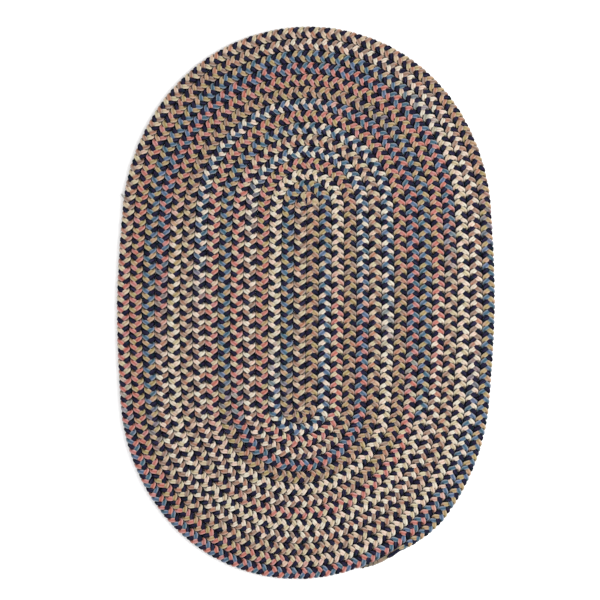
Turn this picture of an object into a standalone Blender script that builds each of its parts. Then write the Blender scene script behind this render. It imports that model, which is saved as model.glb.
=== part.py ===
"""Oval braided rug: one flat three-strand braid, wound into an oval and laced edge to edge.

The braid starts at the lower end of a short straight centre, runs up it, turns clockwise over the
top and keeps winding outwards, until it thins out and is tucked against the edge at the lower
right. The solid is the whole coil: its turns stand up as ribs on the face and on the underside.
Metres. +X is across the rug, +Y runs along it and +Z is up.
"""
import math

import bmesh
import bpy

# Driving sizes
ROW = 0.0194              # one turn of the coil: the width of the braid
TURNS = 15                # rows between the centre seam and the left-hand edge
STRAIGHT = 0.324          # straight run between the centres of the two round ends
SIDE_SPREAD = 0.054       # the long sides lie this share wider than the round ends
LEAN = 0.010              # each place lies this share of its distance up the rug to the right
THICK = 0.010             # braid thickness, face to underside
VALLEY = 0.0035           # depth of the groove between two rows on the face
UNDER_VALLEY = 0.0030     # the same groove on the underside

# The braid's outer end, along the lower right curve, in degrees past the right-hand side
END_THINS_AT = 40.0
END_TUCKED_AT = 70.0
END_FALL = 1.5            # how fast the width falls away over that stretch: 1 is an even taper

# A row's section, from its inner edge to its outer edge: share of the row's width, share of its
# height above the groove. The underside has a flat land, which is what touches the floor.
FACE_SECTION = ((0.0, 0.0), (0.2, 0.72), (0.5, 1.0), (0.8, 0.72), (1.0, 0.0))
UNDER_SECTION = ((0.0, 0.0), (0.24, 1.0), (0.5, 1.0), (0.76, 1.0), (1.0, 0.0))

# Steps of the coil
ARC_STEPS = 18            # steps round each end
SIDE_STEPS = 5            # steps along each side
PER_TURN = 2 * (ARC_STEPS + SIDE_STEPS)
WELD = 0.00001            # points closer than this are one point

YARN_COLOR = (0.36, 0.32, 0.31, 1.0)
YARN_ROUGHNESS = 0.95


def coil_point(station, outward):
    """Plan position on the coil, so far outward from the inner edge of the row at a station."""
    turn, step = divmod(station, PER_TURN)
    reach = turn * ROW + outward
    end_y = STRAIGHT / 2
    if step < SIDE_STEPS:
        return -reach, end_y * (2 * step / SIDE_STEPS - 1)
    step -= SIDE_STEPS
    if step < ARC_STEPS:
        angle = math.pi * (1 - step / ARC_STEPS)
        return reach * math.cos(angle), end_y + reach * math.sin(angle)
    step -= ARC_STEPS
    if step < SIDE_STEPS:
        return reach, end_y * (1 - 2 * step / SIDE_STEPS)
    # The lower curve is centred half a row to the left, which moves the coil out by one row.
    step -= SIDE_STEPS
    angle = -math.pi * step / ARC_STEPS
    reach += ROW / 2
    return -ROW / 2 + reach * math.cos(angle), -end_y + reach * math.sin(angle)


def last_station():
    """The station on the lower right curve where the braid's end is tucked in."""
    lower_curve = (TURNS - 1) * PER_TURN + 2 * SIDE_STEPS + ARC_STEPS
    return lower_curve + round(ARC_STEPS * END_TUCKED_AT / 180)


def fullness(station):
    """Share of the braid's full width that is left at a station: 1, falling to 0 at its end."""
    degrees_left = (last_station() - station) * 180 / ARC_STEPS
    share_left = degrees_left / (END_TUCKED_AT - END_THINS_AT)
    return min(1.0, share_left) ** END_FALL


def row_section(bm, station, section, groove_z, crest_z):
    """Points across one row, from the groove inside it to the groove outside it."""
    left = fullness(station)
    points = []
    for across, height in section:
        x, y = coil_point(station, across * left * ROW)
        z = groove_z + (crest_z - groove_z) * height * left ** 0.5
        points.append(bm.verts.new((x, y, z)))
    return points


def lay_rows(bm, section, groove_z, crest_z):
    """Sweep a row's section along the whole coil, and return the first section's points."""
    first = row_section(bm, 0, section, groove_z, crest_z)
    behind = first
    for station in range(1, last_station() + 1):
        ahead = row_section(bm, station, section, groove_z, crest_z)
        for k in range(len(section) - 1):
            bm.faces.new((behind[k], behind[k + 1], ahead[k + 1], ahead[k]))
        behind = ahead
    return first


def round_start(bm, first):
    """Round off the braid's start: half of its section, turned about the middle of the row."""
    middle = first[len(first) // 2]
    half = [bm.edges.get((a, b)) for a, b in zip(first[:2], first[1:3])]
    bmesh.ops.spin(
        bm, geom=half, cent=middle.co, axis=(0, 0, 1), angle=-math.pi, steps=ARC_STEPS)


def coil_sheet(bm, section, groove_z, crest_z):
    """One face of the rug, laced into a single sheet by welding each groove's shared points."""
    before = set(bm.verts)
    first = lay_rows(bm, section, groove_z, crest_z)
    round_start(bm, first)
    own = [v for v in bm.verts if v not in before]
    bmesh.ops.remove_doubles(bm, verts=own, dist=WELD)


def close_edge(bm):
    """Join the face and the underside round the rug's outer edge."""
    rims = [e for e in bm.edges if e.is_boundary]
    bmesh.ops.bridge_loops(bm, edges=rims)
    bmesh.ops.recalc_face_normals(bm, faces=bm.faces)


def lay_by_hand(bm):
    """Let the long sides lie wider than the ends, most at mid-length, and the oval lean a little."""
    for v in bm.verts:
        share = min(abs(v.co.y) / STRAIGHT, 1.0)
        v.co.x *= 1 + SIDE_SPREAD * (1 + math.cos(math.pi * share)) / 2
        v.co.x += LEAN * v.co.y


def centre(bm):
    """Put the middle of the rug's plan at the origin. The underside already lies at zero."""
    xs = [v.co.x for v in bm.verts]
    ys = [v.co.y for v in bm.verts]
    middle = ((min(xs) + max(xs)) / 2, (min(ys) + max(ys)) / 2, 0)
    bmesh.ops.translate(bm, verts=bm.verts, vec=[-c for c in middle])


def yarn_material():
    material = bpy.data.materials.new("heather_yarn")
    material.use_nodes = True
    shader = material.node_tree.nodes["Principled BSDF"]
    shader.inputs["Base Color"].default_value = YARN_COLOR
    shader.inputs["Roughness"].default_value = YARN_ROUGHNESS
    shader.inputs["Metallic"].default_value = 0.0
    return material


def braided_rug():
    bm = bmesh.new()
    coil_sheet(bm, FACE_SECTION, THICK - VALLEY, THICK)
    coil_sheet(bm, UNDER_SECTION, UNDER_VALLEY, 0.0)
    close_edge(bm)
    lay_by_hand(bm)
    centre(bm)
    mesh = bpy.data.meshes.new("braided_rug")
    bm.to_mesh(mesh)
    bm.free()
    mesh.materials.append(yarn_material())
    mesh.shade_smooth()
    rug = bpy.data.objects.new("braided_rug", mesh)
    bpy.context.scene.collection.objects.link(rug)
    return rug


def main():
    for leftover in list(bpy.data.objects):
        bpy.data.objects.remove(leftover)
    braided_rug()


main()
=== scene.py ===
# %% [markdown]
# # An oval braided rug
#
# The real rug is one very long, flat plait of three soft strands: a dark navy one and two that were
# dyed in runs of colour. The plait is wound into an oval and laced edge to edge as it goes round.
# This lesson makes it the same way: first the straight plait, then the winding, then the lacing.
#
# Everything is in metres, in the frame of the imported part, so the first step loads that frame and
# notes the box that its solid fills.

# %% Load the frame
import math

import bmesh
import bpy
import numpy as np
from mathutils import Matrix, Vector


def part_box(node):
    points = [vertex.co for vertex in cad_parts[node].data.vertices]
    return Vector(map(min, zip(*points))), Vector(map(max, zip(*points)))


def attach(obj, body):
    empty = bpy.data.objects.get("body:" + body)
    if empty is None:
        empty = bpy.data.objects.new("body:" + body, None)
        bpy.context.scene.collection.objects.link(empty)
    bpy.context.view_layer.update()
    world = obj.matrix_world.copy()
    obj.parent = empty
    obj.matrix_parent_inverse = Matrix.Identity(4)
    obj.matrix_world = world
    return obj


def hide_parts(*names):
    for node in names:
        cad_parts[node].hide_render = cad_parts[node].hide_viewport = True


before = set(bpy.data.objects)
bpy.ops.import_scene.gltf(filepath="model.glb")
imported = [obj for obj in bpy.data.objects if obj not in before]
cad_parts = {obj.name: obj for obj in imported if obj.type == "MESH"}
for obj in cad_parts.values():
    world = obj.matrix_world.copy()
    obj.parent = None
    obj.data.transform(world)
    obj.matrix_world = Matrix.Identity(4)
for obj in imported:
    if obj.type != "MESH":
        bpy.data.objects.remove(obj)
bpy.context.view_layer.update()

rug_low, rug_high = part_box("braided_rug")
rug_size = rug_high - rug_low
print("packed rug, mm:", [round(1000 * side, 1) for side in rug_size])

# %% [markdown]
# ## The view
#
# The rug is seen from straight above. A long lens a few metres up keeps the braid at the rim as
# upright as in the middle, and the width that the picture takes in settles how high the camera is.

# %% Camera
LENS_MM = 110.0
PICTURE_WIDTH = 0.971                # of the floor that the square picture shows
PICTURE_MIDDLE = Vector((-0.0096, 0.0045))

camera_data = bpy.data.cameras.new("camera")
camera_data.lens = LENS_MM
camera = bpy.data.objects.new("camera", camera_data)
camera_height = PICTURE_WIDTH * LENS_MM / camera_data.sensor_width + rug_high.z
camera.location = (*PICTURE_MIDDLE, camera_height)
bpy.context.scene.collection.objects.link(camera)
bpy.context.scene.camera = camera
print("camera height, m:", round(camera_height, 2))

# %% [markdown]
# ## Floor and light
#
# A plain, nearly white floor and very soft light. One panel on the right gives each strand a light
# side, a weak one beyond the lower end fills the shade, and a pale world does the rest. Together
# they are bright enough to take the floor to plain white, with hardly a shadow at the rim.

# %% Floor
FLOOR_HALF = 12.0
FLOOR_COLOR = (0.95, 0.95, 0.95, 1.0)
MATT = 1.0


def floor_object():
    bm = bmesh.new()
    bmesh.ops.create_grid(bm, x_segments=1, y_segments=1, size=FLOOR_HALF)
    mesh = bpy.data.meshes.new("floor")
    bm.to_mesh(mesh)
    bm.free()
    paint = bpy.data.materials.new("pale_floor")
    paint.use_nodes = True
    shader = paint.node_tree.nodes["Principled BSDF"]
    shader.inputs["Base Color"].default_value = FLOOR_COLOR
    shader.inputs["Roughness"].default_value = MATT
    mesh.materials.append(paint)
    ground = bpy.data.objects.new("floor", mesh)
    bpy.context.scene.collection.objects.link(ground)
    return ground


floor = floor_object()

# %% Lights
WORLD_STRENGTH = 1.10
PANELS = {
    # name: (place, side of the square panel, watts)
    "window_panel": ((1.35, 0.2, 1.45), 1.3, 30.0),
    "fill_panel": ((0.6, -1.8, 2.6), 2.2, 7.0),
}

world = bpy.data.worlds.new("pale_room")
world.use_nodes = True
world.node_tree.nodes["Background"].inputs["Color"].default_value = (1.0, 1.0, 1.0, 1.0)
world.node_tree.nodes["Background"].inputs["Strength"].default_value = WORLD_STRENGTH
bpy.context.scene.world = world
bpy.context.scene.view_settings.view_transform = "Standard"

for name, (place, side, watts) in PANELS.items():
    panel = bpy.data.lights.new(name, "AREA")
    panel.shape = "SQUARE"
    panel.size = side
    panel.energy = watts
    lamp = bpy.data.objects.new(name, panel)
    lamp.location = place
    lamp.rotation_mode = "QUATERNION"
    lamp.rotation_quaternion = (-Vector(place)).to_track_quat("-Z", "Y")
    bpy.context.scene.collection.objects.link(lamp)
print("lights:", len(PANELS))

# %% [markdown]
# ## The coil
#
# The plait starts at the lower end of a short straight middle, goes up it, turns clockwise over the
# top, comes down and turns again. The lower turns are centred half a row to the left, and that is
# what moves the coil out by a row on each lap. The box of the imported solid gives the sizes: fifteen
# rows fill each half of its width, and its length is one straight and twenty-nine and a half rows.

# %% Coil sizes
TURNS = 15
SIDE_SPREAD = 0.054                  # the long sides lie this share wider than the round ends
LEAN = 0.010                         # each place lies this share of its height to the right
ROWS_IN_LENGTH = 2 * TURNS - 0.5     # the last lap stops short of the lower end
ROW = rug_size.x / (2 * TURNS * (1 + SIDE_SPREAD))
STRAIGHT = rug_size.y - ROWS_IN_LENGTH * ROW
END_Y = STRAIGHT / 2
LEGS = 4                             # up the left, over the top, down the right, round the bottom


def by_leg(left, top, right, bottom):
    """One value for each leg of each turn, in the order in which the plait is wound."""
    return np.stack([np.broadcast_to(v, TURNS) for v in (left, top, right, bottom)], axis=1).ravel()


row_middles = (np.arange(TURNS) + 0.5) * ROW
leg_radii = by_leg(np.inf, row_middles, np.inf, row_middles + ROW / 2)
leg_lengths = by_leg(STRAIGHT, math.pi * row_middles, STRAIGHT, math.pi * (row_middles + ROW / 2))
leg_starts = np.cumsum(leg_lengths) - leg_lengths
print("row, straight, mm:", round(1000 * ROW, 2), round(1000 * STRAIGHT, 1))

# %% [markdown]
# One function winds the straight plait up: it takes how far along the plait a point lies and how
# far outward from the plait's middle line, and gives the point's place on the floor plan. A rug
# laced by hand isn't a true oval: its long sides spread a little, and this one leans to the right.
# Its first bend over the top is too tight for so thick a plait, so it stands up in a blunt point,
# and the next few bends follow it less and less.

# %% Winding
POINTED = 0.62                       # how much taller the very innermost bend would be


def leg_at(along):
    return np.clip(np.searchsorted(leg_starts, along, side="right") - 1, 0, len(leg_starts) - 1)


def wind(along, outward):
    """Plan place of points of the straight plait once it is coiled."""
    leg = leg_at(along)
    turn, side = np.divmod(leg, LEGS)
    gone = along - leg_starts[leg]
    middle = (turn + 0.5) * ROW
    reach = middle + outward
    over = math.pi - gone / middle
    under = -gone / (middle + ROW / 2)
    taller = 1 + POINTED * np.exp(-reach / ROW)
    xs = [-reach, reach * np.cos(over), reach, (reach + ROW / 2) * np.cos(under) - ROW / 2]
    ys = [
        gone - END_Y, END_Y + taller * reach * np.sin(over),
        END_Y - gone, (reach + ROW / 2) * np.sin(under) - END_Y]
    x, y = np.choose(side, xs), np.choose(side, ys)
    spread = SIDE_SPREAD * (1 + np.cos(math.pi * np.minimum(np.abs(y) / STRAIGHT, 1))) / 2
    return x * (1 + spread) + LEAN * y, y - ROW / 4

# %% [markdown]
# A plait that is bent round a curve bunches up on the inside and opens on the outside. The line
# that keeps its length lies a little outside the middle one, so more plait goes into a tight curve
# than its middle line is long. `laid` turns a length of plait into a place along the coil.

# %% Plait length and coil length
TRUE_LINE = 0.0057                   # how far outside the middle the plait keeps its length

leg_crowding = 1 + TRUE_LINE / leg_radii
coil_marks = np.concatenate([[-ROW, 0], np.cumsum(leg_lengths)])
plait_marks = np.concatenate([[-ROW, 0], np.cumsum(leg_lengths * leg_crowding)])


def laid(plaited):
    """Place along the coil, for a length of plait."""
    return np.interp(plaited, plait_marks, coil_marks)


def plaited_to(along):
    """Length of plait that reaches a place along the coil."""
    return np.interp(along, coil_marks, plait_marks)

# %% [markdown]
# The first end of the plait is simply round. The last one is tucked against the rim at the lower
# right: there the strands swing less and less until they run side by side, get thinner, and stop
# one after the other. Angles along the bottom curve, from its right-hand end, say where.

# %% The two ends
THINS_AT = 40                        # the swing starts to shrink
PARALLEL_AT = 55                     # the strands lie side by side
SWING_LEFT = 0.12                    # share of the swing that stays
GIRTHS_AT = {50: 1.0, 55: 0.80, 61: 0.92, 64: 0.80, 69: 0.24}    # angle: share of its own width
TIPS_AT = {"two": 57, "navy": 59.5, "one": 69}                   # where each strand stops
LACED_TO = 68.5                      # where the lacing stops

last_leg = len(leg_starts) - 1


def at_angle(degrees, leg=last_leg):
    """Place along the coil, so far round a curve."""
    return float(leg_starts[leg] + math.radians(degrees) * leg_radii[leg])


rim_start = at_angle(TIPS_AT["one"], last_leg - LEGS)
print("plait, m:", round(float(plaited_to(at_angle(TIPS_AT["one"]))), 2))


def swing_left(along):
    """Share of the full swing at the tucked end."""
    gone = (along - at_angle(THINS_AT)) / (at_angle(PARALLEL_AT) - at_angle(THINS_AT))
    return 1 - (1 - SWING_LEFT) * np.clip(gone, 0, 1)


def girth_left(along):
    """Share of a strand's own width at the tucked end."""
    return np.interp(along, [at_angle(degrees) for degrees in GIRTHS_AT], list(GIRTHS_AT.values()))


def start_left(along):
    """Share of the full width at the round start."""
    return np.sqrt(1 - np.clip(-along / (ROW / 2), 0, 1) ** 2)

# %% [markdown]
# ## The plait
#
# In a flat plait each strand swings from side to side and crosses over one neighbour and under the
# next. Seen along the strand, that is one wave sideways for two waves up and down. A little of the
# third harmonic taken off the sideways wave straightens the strand between its turns, as pulling
# the plait tight does. The three strands follow each other a third of a wave apart.

# %% Plait sizes
PLAIT = 0.02565                      # one full wave of a strand
STRAIGHTEN = 0.09                    # share of the third harmonic, sideways
LEVEL = 0.10                         # share of the third harmonic, up and down
HALF_WIDTH = 0.0037                  # of a strand, on the plan
SWING = 0.0066                       # how far a strand's middle would go to each side
FREE_SWING = ROW / 2 - HALF_WIDTH    # the same on the rim, where nothing presses it
PRESSED = ROW / 2 - 0.00005          # where it is pressed flat against the next row
HALF_HEIGHT = 0.0024                 # of a strand, where it lies level
RISE = rug_size.z / 2 - HALF_HEIGHT  # how far its middle goes up and down
PER_METRE = 2 * math.pi / PLAIT      # phase to a metre of plait
START_WAVE = 0.14                    # how far through its wave the navy strand starts
STRANDS = ("navy", "one", "two")
LAGS = {name: 2 * math.pi * (k / 3 - START_WAVE) for k, name in enumerate(STRANDS)}


def sideways(phase):
    """Sideways place, slope and bend of a strand, for a phase in radians."""
    size = SWING / (1 + STRAIGHTEN)
    place = size * (np.sin(phase) - STRAIGHTEN * np.sin(3 * phase))
    slope = size * PER_METRE * (np.cos(phase) - 3 * STRAIGHTEN * np.cos(3 * phase))
    bend = size * PER_METRE ** 2 * (9 * STRAIGHTEN * np.sin(3 * phase) - np.sin(phase))
    return place, slope, bend


def up_and_down(phase):
    """Height above the middle and slope of a strand, for a phase in radians."""
    peak = RISE / (1 - LEVEL)
    place = peak * (np.sin(2 * phase) + LEVEL * np.sin(6 * phase))
    slope = 2 * peak * PER_METRE * (np.cos(2 * phase) + 3 * LEVEL * np.cos(6 * phase))
    return place, slope

# %% [markdown]
# Where the last strands run side by side they are no longer plaited, so the phase stops there. It
# is made to stop where the navy strand lies on top, on the outer side.

# %% Where the plaiting stops
LOOSE_RUN = PLAIT / 4                # over which it comes to a stop
NAVY_ON_TOP = PLAIT * (1 / 8 - START_WAVE)

waves_to_loose = round(float(plaited_to(at_angle(PARALLEL_AT))) / PLAIT)
loose_from = waves_to_loose * PLAIT + NAVY_ON_TOP - LOOSE_RUN


def worked(plaited):
    """Length of plait that has been worked so far, and the rate at which it goes on there."""
    over = np.maximum(plaited - loose_from, 0)
    rate = np.exp(-over / LOOSE_RUN)
    return np.minimum(plaited, loose_from) + LOOSE_RUN * (1 - rate), rate

# %% [markdown]
# No two loops of a hand-laced rug are quite alike. A few slow waves whose lengths don't fit each
# other wander like chance does, but come out the same on every run.

# %% Unevenness
WANDER_LENGTHS = (0.0213, 0.0377, 0.0619, 0.1490)
WANDER_TOP = 2.4                     # about the highest sum that four waves reach
WANDER_STEP = 2.1                    # sets the waves of one seed apart from those of the next


def wander(length, seed):
    """A smooth value that wanders between about -1 and 1 along the plait."""
    waves = [np.sin(2 * math.pi * length / wave + seed * (WANDER_STEP + k))
             for k, wave in enumerate(WANDER_LENGTHS)]
    return sum(waves) / WANDER_TOP

# %% [markdown]
# ## A strand's surface
#
# A strand's section is nine points, flat on top. Two soft plies lie side by side there with a
# shallow groove between them. The points are carried along the path and turned with it on the plan.
# A soft strand gives way: on the inside of a bend it bunches up rather than folding over itself,
# and where it meets the next row it is pressed flat.

# %% A strand's section
SECTION = np.array((
    # share of the half width, share of the half height
    (1.0, 0.0), (0.90, 0.74), (0.50, 1.0), (0.0, 0.92), (-0.50, 1.0), (-0.90, 0.74),
    (-1.0, 0.0), (-0.60, -0.97), (0.60, -0.97)))
WAYS_ROUND = len(SECTION)
MOST_THICKENED = 1.5                 # an upright cut through a steep strand is taller
BUNCHED = 0.85                       # of the bend's radius, the most that lies inside the bend
UNEVEN_PLACE = 0.0008
UNEVEN_WIDTH = 0.09                  # share of the width
UNEVEN_HEIGHT = 0.0002
WIDTH_SEED = 5                       # added to a strand's seed
HEIGHT_SEED = 9
RING_SHIFT = 0.032 * PLAIT           # brings the rings closer together in the bends
TIP = 0.010                          # length of a strand's rounded tip


def strand_surface(plaited, way_round, swell, lag, seed, tip):
    """Places of a strand's surface points, for how far along and round they are."""
    plaited = plaited + RING_SHIFT * np.sin(2 * (PER_METRE * plaited - lag))
    along = laid(plaited)
    start = start_left(along)
    swing = swing_left(along) * start
    rounding = np.sqrt(1 - (1 - np.clip((tip - along) / TIP, 0, 1)) ** 2)
    girth = girth_left(along) * np.sqrt(start) * rounding * swell

    length, rate = worked(plaited)
    phase = PER_METRE * (length + UNEVEN_PLACE * wander(plaited, seed)) - lag
    side, slope, bend = sideways(phase)
    height, climb = up_and_down(phase)
    crowding = leg_crowding[leg_at(along)] * rate
    slope = slope * crowding * swing
    plan_run = np.sqrt(1 + slope ** 2)
    bend = bend * crowding ** 2 * swing / plan_run ** 3
    thickened = np.minimum(np.sqrt(1 + (climb * crowding / plan_run) ** 2), MOST_THICKENED)

    spot = np.round(way_round * WAYS_ROUND).astype(int) % WAYS_ROUND
    across = SECTION[spot, 0] * HALF_WIDTH * girth
    across = across * (1 + UNEVEN_WIDTH * wander(plaited, seed + WIDTH_SEED))
    into_bend = np.maximum(across * bend, 0) / BUNCHED
    across = across / np.sqrt(1 + into_bend ** 2)
    upright = SECTION[spot, 1] * HALF_HEIGHT * thickened * girth

    side = np.where((along > rim_start) & (side > 0), side * FREE_SWING / SWING, side)
    middle = (ROW / 2 - HALF_WIDTH) * swing_left(along) + HALF_WIDTH * girth_left(along)
    outward = side * swing + across / plan_run
    outward = np.clip(outward, -middle + ROW / 2 - PRESSED, PRESSED) + middle - ROW / 2
    x, y = wind(along - across * slope / plan_run, outward)
    height = (height + UNEVEN_HEIGHT * wander(plaited, seed + HEIGHT_SEED)) * np.sqrt(swing)
    return np.stack([x, y, np.maximum(rug_size.z / 2 + height + upright, 0)], axis=1)

# %% [markdown]
# The surface itself is a flat grid of faces, as long as the strand and as wide as the way round its
# section, rolled into a tube. The first and last rings shrink to a point, which closes the ends.
# The grid brings a texture map, and that is kept as the yarn's own: across it is the way round, and
# up it is the length of plait in metres, so a pattern on it follows the strand wherever it goes.
# A second map folds the long strand into columns side by side, for whoever bakes its colours.

# %% Rolling a grid into a strand
WELD = 0.00001
QUAD = 4
YARN_MAP = "yarn_lay"
KEPT_MAP = "OFBake"
GIRTH = 0.02                         # about the way round a strand
COLUMN_GAP = 0.003                   # between two columns of the second map


def fold_into_columns(shares, rings, length):
    """The second map's corners, for the grid's own map and how long the strand's path is."""
    columns = math.ceil(math.sqrt(length / GIRTH))
    rings_each = math.ceil(rings / columns)
    ring_up = shares[:, 1] * rings
    lowest = np.round(ring_up).reshape(-1, QUAD).min(axis=1)
    column = np.repeat(lowest // rings_each, QUAD)
    across = (column + 0.5) / columns + (shares[:, 0] - 0.5) * (1 / columns - COLUMN_GAP)
    up = 0.5 + ((ring_up - column * rings_each) / rings_each - 0.5) * (1 - COLUMN_GAP)
    return np.stack([across, up], axis=1)


def rolled_grid(name, ways, rings, begin, end, surface, path_length):
    """A closed tube: a grid of faces whose points a function of length and way round places."""
    bm = bmesh.new()
    bm.loops.layers.uv.new(YARN_MAP)
    bmesh.ops.create_grid(bm, x_segments=ways, y_segments=rings, size=0.5, calc_uvs=True)
    mesh = bpy.data.meshes.new(name)
    bm.to_mesh(mesh)
    bm.free()
    points = np.empty(len(mesh.vertices) * 3, np.float32)
    mesh.vertices.foreach_get("co", points)
    points = points.reshape(-1, 3).astype(float) + 0.5
    swell = np.clip(rings * np.minimum(points[:, 1], 1 - points[:, 1]), 0, 1)
    placed = surface(begin + points[:, 1] * (end - begin), points[:, 0], swell)
    mesh.vertices.foreach_set("co", placed.astype(np.float32).ravel())
    corners = np.empty(len(mesh.loops) * 2, np.float32)
    mesh.uv_layers[YARN_MAP].uv.foreach_get("vector", corners)
    shares = corners.reshape(-1, 2).astype(float)
    kept = fold_into_columns(shares, rings, path_length)
    mesh.uv_layers.new(name=KEPT_MAP)
    mesh.uv_layers[KEPT_MAP].uv.foreach_set("vector", kept.astype(np.float32).ravel())
    shares[:, 1] = begin + shares[:, 1] * (end - begin)
    mesh.uv_layers[YARN_MAP].uv.foreach_set("vector", shares.astype(np.float32).ravel())
    return mesh


def welded_piece(mesh):
    """Close the rolled grid's seam and ends, and make an object of it."""
    bm = bmesh.new()
    bm.from_mesh(mesh)
    bmesh.ops.remove_doubles(bm, verts=bm.verts, dist=WELD)
    bmesh.ops.recalc_face_normals(bm, faces=bm.faces)
    bm.to_mesh(mesh)
    bm.free()
    mesh.shade_smooth()
    piece = bpy.data.objects.new(mesh.name, mesh)
    bpy.context.scene.collection.objects.link(piece)
    triangles = sum(len(face.vertices) - 2 for face in mesh.polygons)
    print(piece.name, "triangles:", triangles)
    return piece

# %% [markdown]
# ## The navy strand
#
# The navy strand is the same from end to end, so it is a single piece. Being dark, it gets by with
# fewer rings than the others.

# %% Navy strand
PATH_PER_PLAIT = 1.7                 # a strand's path, as a share of the plait's length
NAVY_RINGS = 11.75                   # rings to one wave of the plait

plait_begins = -ROW / 2


def strand_mesh(name, strand, begin, end, rings_per_plait):
    """The mesh of one of the three strands, between two lengths of plait."""
    rings = round((end - begin) / PLAIT * rings_per_plait)
    seed = 1.0 + STRANDS.index(strand)
    tip = at_angle(TIPS_AT[strand])

    def surface(plaited, way_round, swell):
        return strand_surface(plaited, way_round, swell, LAGS[strand], seed, tip)

    return rolled_grid(
        name, WAYS_ROUND, rings, begin, end, surface, (end - begin) * PATH_PER_PLAIT)


navy_ends = float(plaited_to(at_angle(TIPS_AT["navy"])))
navy_strand = welded_piece(
    strand_mesh("navy_strand", "navy", plait_begins, navy_ends, NAVY_RINGS))

# %% [markdown]
# ## The dyed strands
#
# Both light strands are the same yarn. It was dyed in runs about as long as an arm, in a round of
# six colours, so where a strand is within that round is a single number that grows along it. The
# second strand is joined once, halfway out, and starts there at another colour. Each strand is cut
# into three pieces, which keeps each under 200,000 triangles.

# %% Dyed strands
DYED_RINGS = 20
RUN_MAP = "dye_runs"
DYE_STARTS = {
    # strand: (place along the coil, run that starts there, length of a run), from there onwards
    "one": ((-ROW, -0.393, 0.918),),
    "two": ((-ROW, 3.159, 0.9185), (12.294, 5.25, 0.965)),
}
CUT_TURNS = (8, 12)                  # the turns that a new piece starts on
PARTS = ("inner", "middle", "outer")


def dye_runs(strand, along):
    """How many runs of colour a strand has gone through, at places along the coil."""
    runs = np.zeros_like(along)
    for place, run, length in DYE_STARTS[strand]:
        runs = np.where(along >= place, run + (along - place) / length, runs)
    return runs


def dyed_strand(strand):
    """The three pieces of a dyed strand, each with its dye in an attribute."""
    ring = PLAIT / DYED_RINGS
    cuts = [float(plait_marks[1 + LEGS * turn]) for turn in CUT_TURNS]
    begins = [plait_begins] + [cut - ring for cut in cuts]
    ends = [cut + ring for cut in cuts] + [float(plaited_to(at_angle(TIPS_AT[strand])))]
    pieces = []
    for part, begin, end in zip(PARTS, begins, ends):
        name = f"dyed_strand_{strand}_{part}"
        mesh = strand_mesh(name, strand, begin, end, DYED_RINGS)
        rows = np.linspace(begin, end, len(mesh.vertices) // (WAYS_ROUND + 1))
        runs = np.repeat(dye_runs(strand, laid(rows)), WAYS_ROUND + 1)
        mesh.attributes.new(RUN_MAP, "FLOAT", "POINT")
        mesh.attributes[RUN_MAP].data.foreach_set("value", runs.astype(np.float32))
        pieces.append(welded_piece(mesh))
    return pieces


dyed_pieces = dyed_strand("one") + dyed_strand("two")

# %% [markdown]
# ## The lacing
#
# A dark thread laces each turn of the plait to the one inside it. It starts where the first turn
# comes back along the middle, and winds round the seam once for every loop of the plait's edge.
# Only thin dark bits of it show between the loops, so three sides and five rings a stitch will do.
# Its near-black colour is partly painted shade, for the small gaps at the seams that it fills. At
# the very end it is whipped right round the last strand, which holds the tip down.

# %% Lacing thread
STITCH = PLAIT / 3                   # each strand comes to the edge once in a wave
STITCH_ACROSS = 0.0010
STITCH_RISE = 0.0012
THREAD_HALF = 0.0009
THREAD_SIDES = 3
STITCH_RINGS = 5
WHIPPED_FROM = 61.5                  # angle from which the thread goes right round the last strand

lacing_begins = float(plaited_to(leg_starts[2]))
lacing_ends = float(plaited_to(at_angle(LACED_TO)))


def lacing_surface(plaited, way_round, swell):
    """Places of the lacing thread's surface points."""
    phase = 2 * math.pi * plaited / STITCH
    turned = 2 * math.pi * way_round
    along = laid(plaited)
    girth = girth_left(along)
    whipped = np.clip((along - at_angle(WHIPPED_FROM)) / STITCH, 0, 1)
    across = STITCH_ACROSS + (HALF_WIDTH * girth - STITCH_ACROSS) * whipped
    rise = STITCH_RISE + (HALF_HEIGHT * girth - STITCH_RISE) * whipped
    outward = HALF_WIDTH * girth * whipped + across * np.sin(phase)
    x, y = wind(along, outward + THREAD_HALF * np.cos(turned) * swell - ROW / 2)
    z = rise * np.cos(phase) + THREAD_HALF * np.sin(turned) * swell
    return np.stack([x, y, rug_size.z / 2 + z], axis=1)


stitch_rings = round((lacing_ends - lacing_begins) / STITCH * STITCH_RINGS)
lacing_mesh = rolled_grid(
    "lacing_thread", THREAD_SIDES, stitch_rings, lacing_begins, lacing_ends, lacing_surface,
    lacing_ends - lacing_begins)
lacing_thread = welded_piece(lacing_mesh)

# %% [markdown]
# ## The loose tuft
#
# A small tuft of greyish fibre has worked out of the rim on the left. It is a few bent hairs of
# yarn, each one a small grid rolled up in the same way.

# %% Loose tuft
TUFT_PAST = 0.0135                   # past the start of the last curve over the top
TUFT_AT = float(leg_starts[last_leg - 2]) + TUFT_PAST
TUFT_DEEP = 0.003                    # how far in from the rim its hairs start
TUFT_ROOT = ROW / 2 - TUFT_DEEP      # from the plait's middle line
HAIR_HALF = 0.0011
HAIR_SIDES = 5
HAIR_RINGS = 7
HAIRS = (
    # start along the rim, length outwards, sideways bend, height of the root, height of the tip
    (-0.0012, 0.0066, 0.0044, 0.0075, 0.0062),
    (-0.0004, 0.0078, 0.0052, 0.0072, 0.0080),
    (0.0006, 0.0070, 0.0058, 0.0066, 0.0050),
    (0.0010, 0.0062, 0.0036, 0.0076, 0.0088),
    (0.0002, 0.0076, 0.0040, 0.0068, 0.0066),
)


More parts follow.
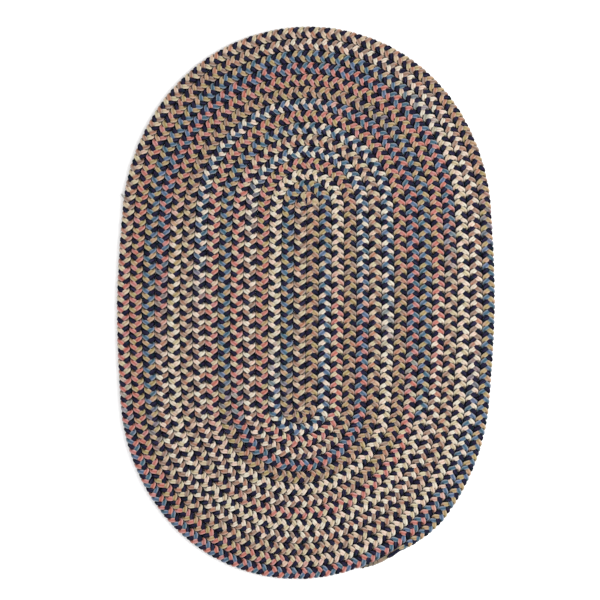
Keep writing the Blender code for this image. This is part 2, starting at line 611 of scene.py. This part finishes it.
def hair_place(hair, way_round, up):
    """Place of one point of a hair."""
    start, length, bend, root_z, tip_z = hair
    girth = HAIR_HALF * math.sqrt(max(1 - (2 * up - 1) ** 4, 0))
    turned = 2 * math.pi * way_round
    along = TUFT_AT + start + bend * up ** 2 + girth * math.cos(turned)
    x, y = wind(np.array(along), TUFT_ROOT + length * up)
    return float(x), float(y), root_z + (tip_z - root_z) * up + girth * math.sin(turned)


def tuft():
    bm = bmesh.new()
    for hair in HAIRS:
        made = bmesh.ops.create_grid(
            bm, x_segments=HAIR_SIDES, y_segments=HAIR_RINGS, size=0.5)
        for v in made["verts"]:
            v.co = hair_place(hair, v.co.x + 0.5, v.co.y + 0.5)
    mesh = bpy.data.meshes.new("loose_tuft")
    bm.to_mesh(mesh)
    bm.free()
    return welded_piece(mesh)


loose_tuft = tuft()

# %% [markdown]
# ## Finishes
#
# A finish is a small program of nodes. Two helpers keep it readable. `Wire` wraps a socket, so that
# sums on it read like sums. `Paint` is a new material with one method that adds any node: its
# settings go in first, then the values or wires of its sockets.

# %% Wires and paints
MIX_COLORS = {"data_type": "RGBA"}
# the Mix node's sockets, when what it mixes is colours
MIX_FACTOR, MIX_FIRST, MIX_SECOND, MIX_RESULT = 0, 6, 7, 2
SCREEN_TOP = 255                     # a screen's highest value
SCREEN_STRAIGHT_TO = 0.04045         # up to this share the light grows evenly, then by a power
SCREEN_SLOPE = 12.92
SCREEN_LIFT = 0.055
SCREEN_POWER = 2.4


class Wire:
    """A socket of a material. An expression on wires adds the Math nodes that work it out."""

    def __init__(self, paint, socket):
        self.paint = paint
        self.socket = socket

    def maths(self, operation, first, second):
        return self.paint.node("Math", {"operation": operation}, {0: first, 1: second})

    def __add__(self, other):
        return self.maths("ADD", self, other)

    __radd__ = __add__

    def __sub__(self, other):
        return self.maths("SUBTRACT", self, other)

    def __mul__(self, other):
        return self.maths("MULTIPLY", self, other)

    def __truediv__(self, other):
        return self.maths("DIVIDE", self, other)


class Paint:
    """A new material, and the one method that adds nodes to it."""

    def __init__(self, name):
        self.material = bpy.data.materials.new(name)
        self.material.use_nodes = True
        self.tree = self.material.node_tree
        self.shader = self.tree.nodes["Principled BSDF"]

    def node(self, kind, settings, inputs, output=0):
        made = self.tree.nodes.new("ShaderNode" + kind)
        for setting, value in settings.items():
            if setting == "stops":
                self.set_stops(made.color_ramp, value)
            else:
                setattr(made, setting, value)
        self.connect(made, inputs)
        return Wire(self, made.outputs[output])

    def set_stops(self, ramp, stops):
        ramp.elements.remove(ramp.elements[-1])
        ramp.elements[0].position, ramp.elements[0].color = stops[0]
        for place, color in stops[1:]:
            ramp.elements.new(place).color = color

    def connect(self, made, inputs):
        for key, value in inputs.items():
            if isinstance(value, Wire):
                self.tree.links.new(value.socket, made.inputs[key])
            else:
                made.inputs[key].default_value = value

    def mix(self, share, first, second):
        """The first colour where the share is 0, turning into the second where it is 1."""
        return self.node(
            "Mix", MIX_COLORS, {MIX_FACTOR: share, MIX_FIRST: first, MIX_SECOND: second},
            MIX_RESULT)


def screen_light(value):
    """One channel of a screen colour, as light."""
    share = value / SCREEN_TOP
    if share < SCREEN_STRAIGHT_TO:
        return share / SCREEN_SLOPE
    return ((share + SCREEN_LIFT) / (1 + SCREEN_LIFT)) ** SCREEN_POWER


def from_screen(red, green, blue):
    """A colour as it looks on screen, 0 to 255, as the light that a material works in."""
    return (screen_light(red), screen_light(green), screen_light(blue), 1.0)

# %% [markdown]
# ### Yarn
#
# All the strands are soft spun yarn, and share everything but their colour. A strand is a bundle of
# yarn ends, each about a millimetre thick, with fine fibres on them, so one noise is stretched far
# along the strand and a finer one a little. A third noise changes about once a loop, for no two
# loops took the dye alike. The yarn is painted darker down between the strands, as shade, and is
# matt, with a faint bloom from loose fibre. The way round tells where the groove and the shoulders
# of a strand are.

# %% Yarn helpers
END_WIDTH = 0.0012                   # of one yarn end in the bundle
END_STRETCH = 0.07                   # the ends change this much more slowly lengthwise
FIBRE_WIDTH = 0.0005
FIBRE_STRETCH = 0.25
LOOP = PLAIT / 2
TWIST = 0.0038                       # from one turn of the plies to the next
TWIST_SLANT = 2.0                    # turns that the twist takes round the strand
GROOVE_AT = 3 / WAYS_ROUND           # way round to the groove between the plies
GROOVE_FADES = (0.01, 0.085)         # way round from it over which the groove fades out
SHOULDER_COMES = (0.07, 0.19)        # and over which the shoulder comes in
PAINTED_SHADE_LIFTS = (0.0005, 0.0037)       # away from mid height, where the painted shade of the crevices lifts
PAINTED_CREVICE_LIGHT = 0.42                 # share of the light that the painted shade leaves at mid height
BUMP_DEPTH = 0.0006
BUMP_STRENGTH = 0.8
END_RELIEF = 1.2                     # shares of that depth
FIBRE_RELIEF = 0.6
TWIST_RELIEF = 0.08
LEAST_ROUGH = 0.88
ROUGH_BY_FIBRE = 0.12
BLOOM_ROUGH = 0.6


class Yarn(Paint):
    """A paint that knows where on its strand a point is."""

    def __init__(self, name):
        super().__init__(name)
        lay = self.node("UVMap", {"uv_map": YARN_MAP}, {})
        self.way_round = self.node("SeparateXYZ", {}, {0: lay}, "X")
        self.length = self.node("SeparateXYZ", {}, {0: lay}, "Y")

    def grain(self, width, stretch):
        """Noise from 0 to 1, in streaks of a width, stretched along the strand."""
        place = self.node("CombineXYZ", {}, {
            "X": self.way_round * (GIRTH / width),
            "Y": self.length * (stretch / width)})
        return self.node("TexNoise", {}, {"Vector": place, "Scale": 1.0, "Detail": 1.0}, "Fac")

    def loops(self, offset):
        """Noise that changes about once a loop."""
        return self.node("TexNoise", {"noise_dimensions": "1D"}, {
            "W": self.length / LOOP + offset, "Scale": 1.0, "Detail": 1.0}, "Fac")

    def between(self, value, low, high, at_low, at_high):
        """A smooth step of a value, from at_low where it is low to at_high where it is high."""
        return self.node("MapRange", {"interpolation_type": "SMOOTHSTEP"}, {
            "Value": value, "From Min": low, "From Max": high,
            "To Min": at_low, "To Max": at_high})

    def from_groove(self):
        """How far round the strand a point lies from the groove between the two plies."""
        return self.node("Math", {"operation": "ABSOLUTE"}, {0: self.way_round - GROOVE_AT})

    def groove(self):
        """1 in the groove between the two plies, and 0 away from it."""
        return self.between(self.from_groove(), *GROOVE_FADES, 1.0, 0.0)

    def shoulder(self):
        """0 along the middle of the strand's face, and 1 at its two shoulders and below them."""
        return self.between(self.from_groove(), *SHOULDER_COMES, 0.0, 1.0)

    def dimmed(self, color, light):
        """A colour, times how light it is at each point, painted shade included."""
        return self.node("VectorMath", {"operation": "SCALE"}, {"Vector": color, "Scale": light})

    def crevice_painted_shade(self):
        """Painted shade: less than 1 at mid height, down between the strands, and 1 on the face and
        underside.
        """
        place = self.node("TexCoord", {}, {}, "Object")
        height = self.node("SeparateXYZ", {}, {0: place}, "Z")
        away = self.node("Math", {"operation": "ABSOLUTE"}, {0: height - rug_size.z / 2})
        return self.between(away, *PAINTED_SHADE_LIFTS, PAINTED_CREVICE_LIGHT, 1.0)

    def finish(self, color, ends, fibres, bloom, shine):
        """Set the shader: colour, roughness, the relief of the yarn, bloom and shine."""
        twist = self.node("Math", {"operation": "SINE"}, {
            0: (self.length / TWIST + self.way_round * TWIST_SLANT) * (2 * math.pi)})
        relief = self.node("Bump", {}, {
            "Strength": BUMP_STRENGTH, "Distance": BUMP_DEPTH,
            "Height": ends * END_RELIEF + fibres * FIBRE_RELIEF + twist * TWIST_RELIEF})
        self.connect(self.shader, {
            "Base Color": color, "Roughness": LEAST_ROUGH + fibres * ROUGH_BY_FIBRE,
            "Normal": relief, "Sheen Weight": bloom, "Sheen Roughness": BLOOM_ROUGH,
            "Specular IOR Level": shine})

# %% [markdown]
# The navy strand is nearly black, and leans towards a greener blue here and there. A few of its
# ends took less dye and catch the light. Its shoulders are painted darker, as shade, and so is the
# yarn down between the strands.

# %% Navy yarn
NAVY = from_screen(35, 28, 53)
NAVY_GREENER = from_screen(18, 36, 48)
GREENER_LOOPS = (0.42, 0.66)         # noise of the loops over which the greener blue comes in
PALE_END = from_screen(66, 63, 90)
PALER_ENDS = (0.52, 0.70)            # noise of the ends over which they get paler
PALE_MOST = 0.55                     # share of the pale colour in the palest end
NAVY_LEAST_LIGHT = 0.10
NAVY_LIGHT_BY_END = 1.38
# painted shade on the shoulders of the navy strand
NAVY_SHOULDER_PAINTED_SHADE = 0.45
NAVY_BLOOM = 0.02
NAVY_SHINE = 0.02


def navy_yarn():
    yarn = Yarn("navy_yarn")
    ends = yarn.grain(END_WIDTH, END_STRETCH)
    fibres = yarn.grain(FIBRE_WIDTH, FIBRE_STRETCH)
    greener = yarn.between(yarn.loops(0.0), *GREENER_LOOPS, 0.0, 1.0)
    color = yarn.mix(greener, NAVY, NAVY_GREENER)
    color = yarn.mix(yarn.between(ends, *PALER_ENDS, 0.0, PALE_MOST), color, PALE_END)
    # painted shade: shoulders darker, and darker again down between the strands
    lit = NAVY_LEAST_LIGHT + ends * NAVY_LIGHT_BY_END - yarn.shoulder() * NAVY_SHOULDER_PAINTED_SHADE
    light = lit * yarn.crevice_painted_shade() * yarn.crevice_painted_shade()
    yarn.finish(yarn.dimmed(color, light), ends, fibres, NAVY_BLOOM, NAVY_SHINE)
    return yarn.material


navy_strand.data.materials.append(navy_yarn())

# %% [markdown]
# The light yarn goes through olive-tan, cream, coral, rose-brown, slate and sand, one after the
# other. Two ramps hold that round: the colours as they mostly are, and the tint that each leans
# towards where the dye took differently. The noise of the loops mixes the two. Down the groove
# between the plies the colour is painted darker, as shade, and a little redder. The shoulders are
# painted paler, partly for loose pale fibre and partly as a painted sheen. The same noise serves
# three times, each time shifted along by its own amount, which also grows with the runs of dye.

# %% Dyed yarn
DYES = (
    # the dye, and the tint that it leans towards
    (from_screen(162, 147, 100), from_screen(180, 146, 119)),    # olive-tan
    (from_screen(208, 204, 186), from_screen(214, 190, 174)),    # cream
    (from_screen(182, 110, 97), from_screen(182, 123, 122)),     # coral
    (from_screen(143, 122, 108), from_screen(172, 124, 101)),    # rose-brown
    (from_screen(63, 100, 119), from_screen(87, 109, 142)),      # slate
    (from_screen(190, 181, 148), from_screen(199, 173, 154)),    # sand
)
BLEND = 0.12                         # share of a run over which one dye becomes the next
DYE_COUNT = len(DYES)
TINT_BY_LOOP = 0.65                  # share of the loops' noise in the tint; the ends' is the rest
TINT_COMES = (0.42, 0.62)            # noise over which the tint comes in
TINT_SHIFT = 7.3                     # shift of the loops' noise for each run of dye
GROOVE_SHADE_FACTOR = (0.75, 0.61, 0.54)            # painted shade down the groove between the plies, darker and a little redder, as a factor on a colour
GROOVE_SHADE_MOST = 1.35
GROOVE_SHADE_SHIFT, GROOVE_SHADE_START = 5.7, 20.0
# pale loose fibre, and painted sheen, on the shoulders
FLUFF_AND_SHEEN = from_screen(236, 222, 214)
FLUFF_AND_SHEEN_MOST = 0.45
LEAST_LIGHT = 0.53
LIGHT_BY_LOOP = 0.18
LIGHT_BY_END = 0.25
LIGHT_BY_FIBRE = 0.10
LIGHT_SHIFT, LIGHT_START = 3.1, 40.0
BLOOM = 0.08
SHINE = 0.1


def round_of_dyes(which):
    """The stops of a ramp that holds the six dyes, with short blends between them."""
    half = BLEND / 2
    colors = [pair[which] for pair in DYES]
    first_and_last = tuple((a + b) / 2 for a, b in zip(colors[0], colors[-1]))
    stops = [(0.0, first_and_last)]
    for k, color in enumerate(colors):
        stops += [((k + half) / DYE_COUNT, color), ((k + 1 - half) / DYE_COUNT, color)]
    return stops + [(1.0, first_and_last)]


def dyed_yarn():
    yarn = Yarn("dyed_yarn")
    ends = yarn.grain(END_WIDTH, END_STRETCH)
    fibres = yarn.grain(FIBRE_WIDTH, FIBRE_STRETCH)
    runs = yarn.node("Attribute", {"attribute_name": RUN_MAP}, {}, "Fac")
    place = yarn.node("Math", {"operation": "FRACT"}, {0: runs / DYE_COUNT})
    dye = yarn.node("ValToRGB", {"stops": round_of_dyes(0)}, {"Fac": place}, "Color")
    tint = yarn.node("ValToRGB", {"stops": round_of_dyes(1)}, {"Fac": place}, "Color")
    varied = yarn.loops(runs * TINT_SHIFT) * TINT_BY_LOOP + ends * (1 - TINT_BY_LOOP)
    color = yarn.mix(yarn.between(varied, *TINT_COMES, 0.0, 1.0), dye, tint)
    # painted shade down the groove between the plies: darker and a little redder
    groove_shaded = yarn.node("VectorMath", {"operation": "MULTIPLY"}, {0: color, 1: GROOVE_SHADE_FACTOR})
    groove_shade = yarn.groove() * yarn.loops(runs * GROOVE_SHADE_SHIFT + GROOVE_SHADE_START) * GROOVE_SHADE_MOST
    color = yarn.mix(groove_shade, color, groove_shaded)
    # shoulders painted paler: loose pale fibre and painted sheen
    color = yarn.mix(yarn.shoulder() * (fibres * FLUFF_AND_SHEEN_MOST), color, FLUFF_AND_SHEEN)
    by_loop = yarn.loops(runs * LIGHT_SHIFT + LIGHT_START) * LIGHT_BY_LOOP
    light = LEAST_LIGHT + by_loop + ends * LIGHT_BY_END + fibres * LIGHT_BY_FIBRE
    # painted shade down between the strands darkens the colour
    yarn.finish(yarn.dimmed(color, light * yarn.crevice_painted_shade()), ends, fibres, BLOOM, SHINE)
    return yarn.material


dyed_paint = dyed_yarn()
for piece in dyed_pieces:
    piece.data.materials.append(dyed_paint)

# %% [markdown]
# The lacing is waxed thread, so it is a little smoother, and it is dark: near black, which also
# stands as painted shade for the gaps in the seams that it fills. The tuft is undyed fibre. Both are
# thin enough that a fine noise on the object's own coordinates is all the detail they need.

# %% Thread finishes
# near-black thread; its darkness is partly painted shade in the seams
THREAD_AND_SEAM_SHADE = (from_screen(16, 16, 24), from_screen(32, 32, 44))
HAIR = (from_screen(124, 126, 122), from_screen(171, 169, 162))
THREAD_ROUGH = 0.7
HAIR_ROUGH = 0.85
ROUGH_BY_GRAIN = 0.1
THREAD_SHINE = 0.1
THREAD_GRAIN = 1500.0                # bands of noise to a metre
THREAD_BUMP_DEPTH = 0.0002
THREAD_BUMP_STRENGTH = 0.5


def thread_finish(name, dark, pale, rough):
    paint = Paint(name)
    place = paint.node("TexCoord", {}, {}, "Object")
    grain = paint.node("TexNoise", {}, {"Vector": place, "Scale": THREAD_GRAIN}, "Fac")
    relief = paint.node("Bump", {}, {
        "Strength": THREAD_BUMP_STRENGTH, "Distance": THREAD_BUMP_DEPTH, "Height": grain})
    paint.connect(paint.shader, {
        "Base Color": paint.mix(grain, dark, pale), "Roughness": rough + grain * ROUGH_BY_GRAIN,
        "Normal": relief, "Specular IOR Level": THREAD_SHINE})
    return paint.material


lacing_thread.data.materials.append(thread_finish("lacing_thread", *THREAD_AND_SEAM_SHADE, THREAD_ROUGH))
loose_tuft.data.materials.append(thread_finish("loose_fibre", *HAIR, HAIR_ROUGH))

# %% [markdown]
# ## Fixing it to the part
#
# Every piece rides on the part's one body, grouped by the finish that it shows, and the imported
# solid is hidden.

slots = {"navy_yarn": [navy_strand], "dyed_yarn": dyed_pieces,
         "lacing_thread": [lacing_thread, loose_tuft]}
for slot, pieces in slots.items():
    for piece in pieces:
        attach(piece, "root")
        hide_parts("braided_rug")
print("pieces:", sum(len(pieces) for pieces in slots.values()))
